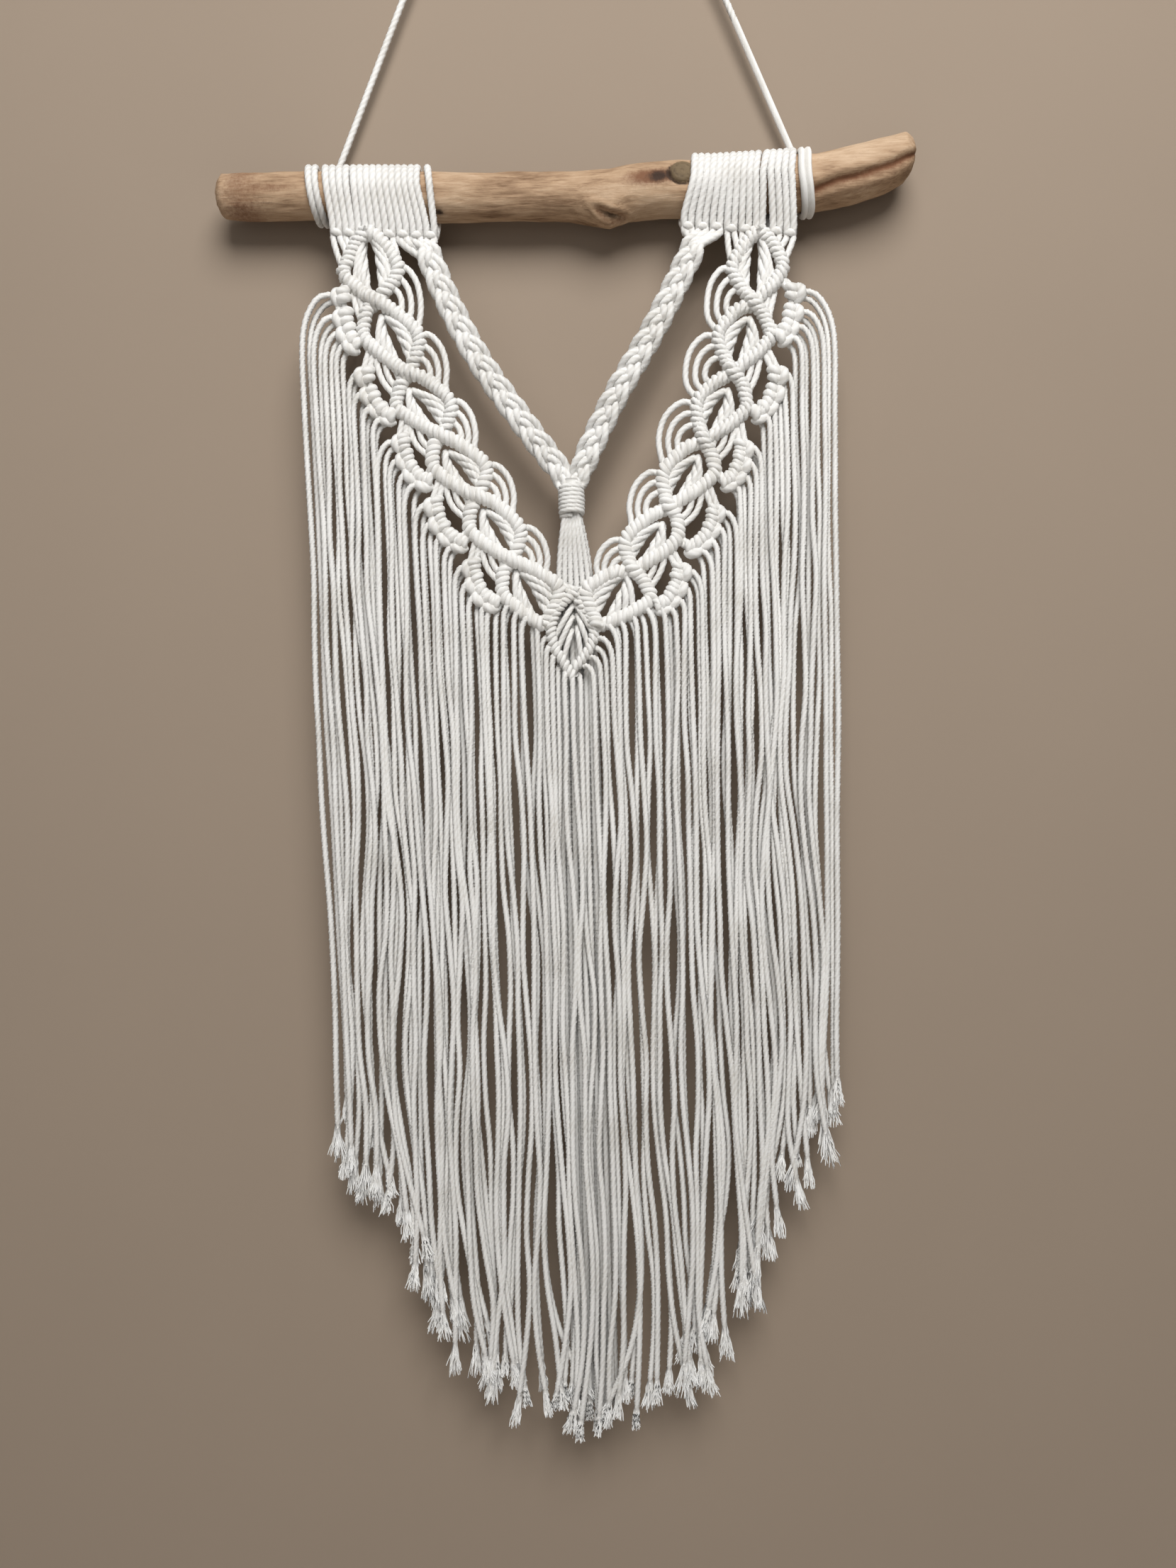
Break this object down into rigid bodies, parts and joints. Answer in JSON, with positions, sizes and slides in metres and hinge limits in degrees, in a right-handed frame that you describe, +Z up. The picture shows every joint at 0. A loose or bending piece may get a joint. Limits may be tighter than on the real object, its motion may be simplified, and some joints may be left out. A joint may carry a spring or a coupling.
{
  "type": "macrame wall hanging on a driftwood stick",
  "caption": "Knotted cotton wall hanging: two columns of leaf-shaped knots and two braids meet in a point under a driftwood stick, with a long tapered fringe.",
  "frame": {"origin": "the point where the hanging cord bears on its nail or hook, at the top", "axes": "+Z up, +X to the right seen from the front, and the front faces -Y, so the wall is behind at +Y"},
  "size_m": [0.411, 0.0376, 1.0926],
  "materials": {
    "cotton_cord": "matte off-white twisted cotton cord, slightly fuzzy",
    "driftwood": "dry, smooth-worn light brown driftwood with darker grain and knots"
  },
  "bodies": {
    "root": {"driftwood_stick": "driftwood", "hanging_turns_left": "cotton_cord", "hanging_turns_right": "cotton_cord", "hanging_cord_left": "cotton_cord", "hanging_cord_right": "cotton_cord", "mounting_loops_left": "cotton_cord", "mounting_loops_right": "cotton_cord", "knotted_column_left": "cotton_cord", "knotted_column_right": "cotton_cord", "centre_leaf": "cotton_cord", "braid_left": "cotton_cord", "braid_right": "cotton_cord", "gathering_wrap": "cotton_cord", "tassel": "cotton_cord", "fringe_left": "cotton_cord", "fringe_right": "cotton_cord", "fringe_centre": "cotton_cord"}
  },
  "joints": []
}
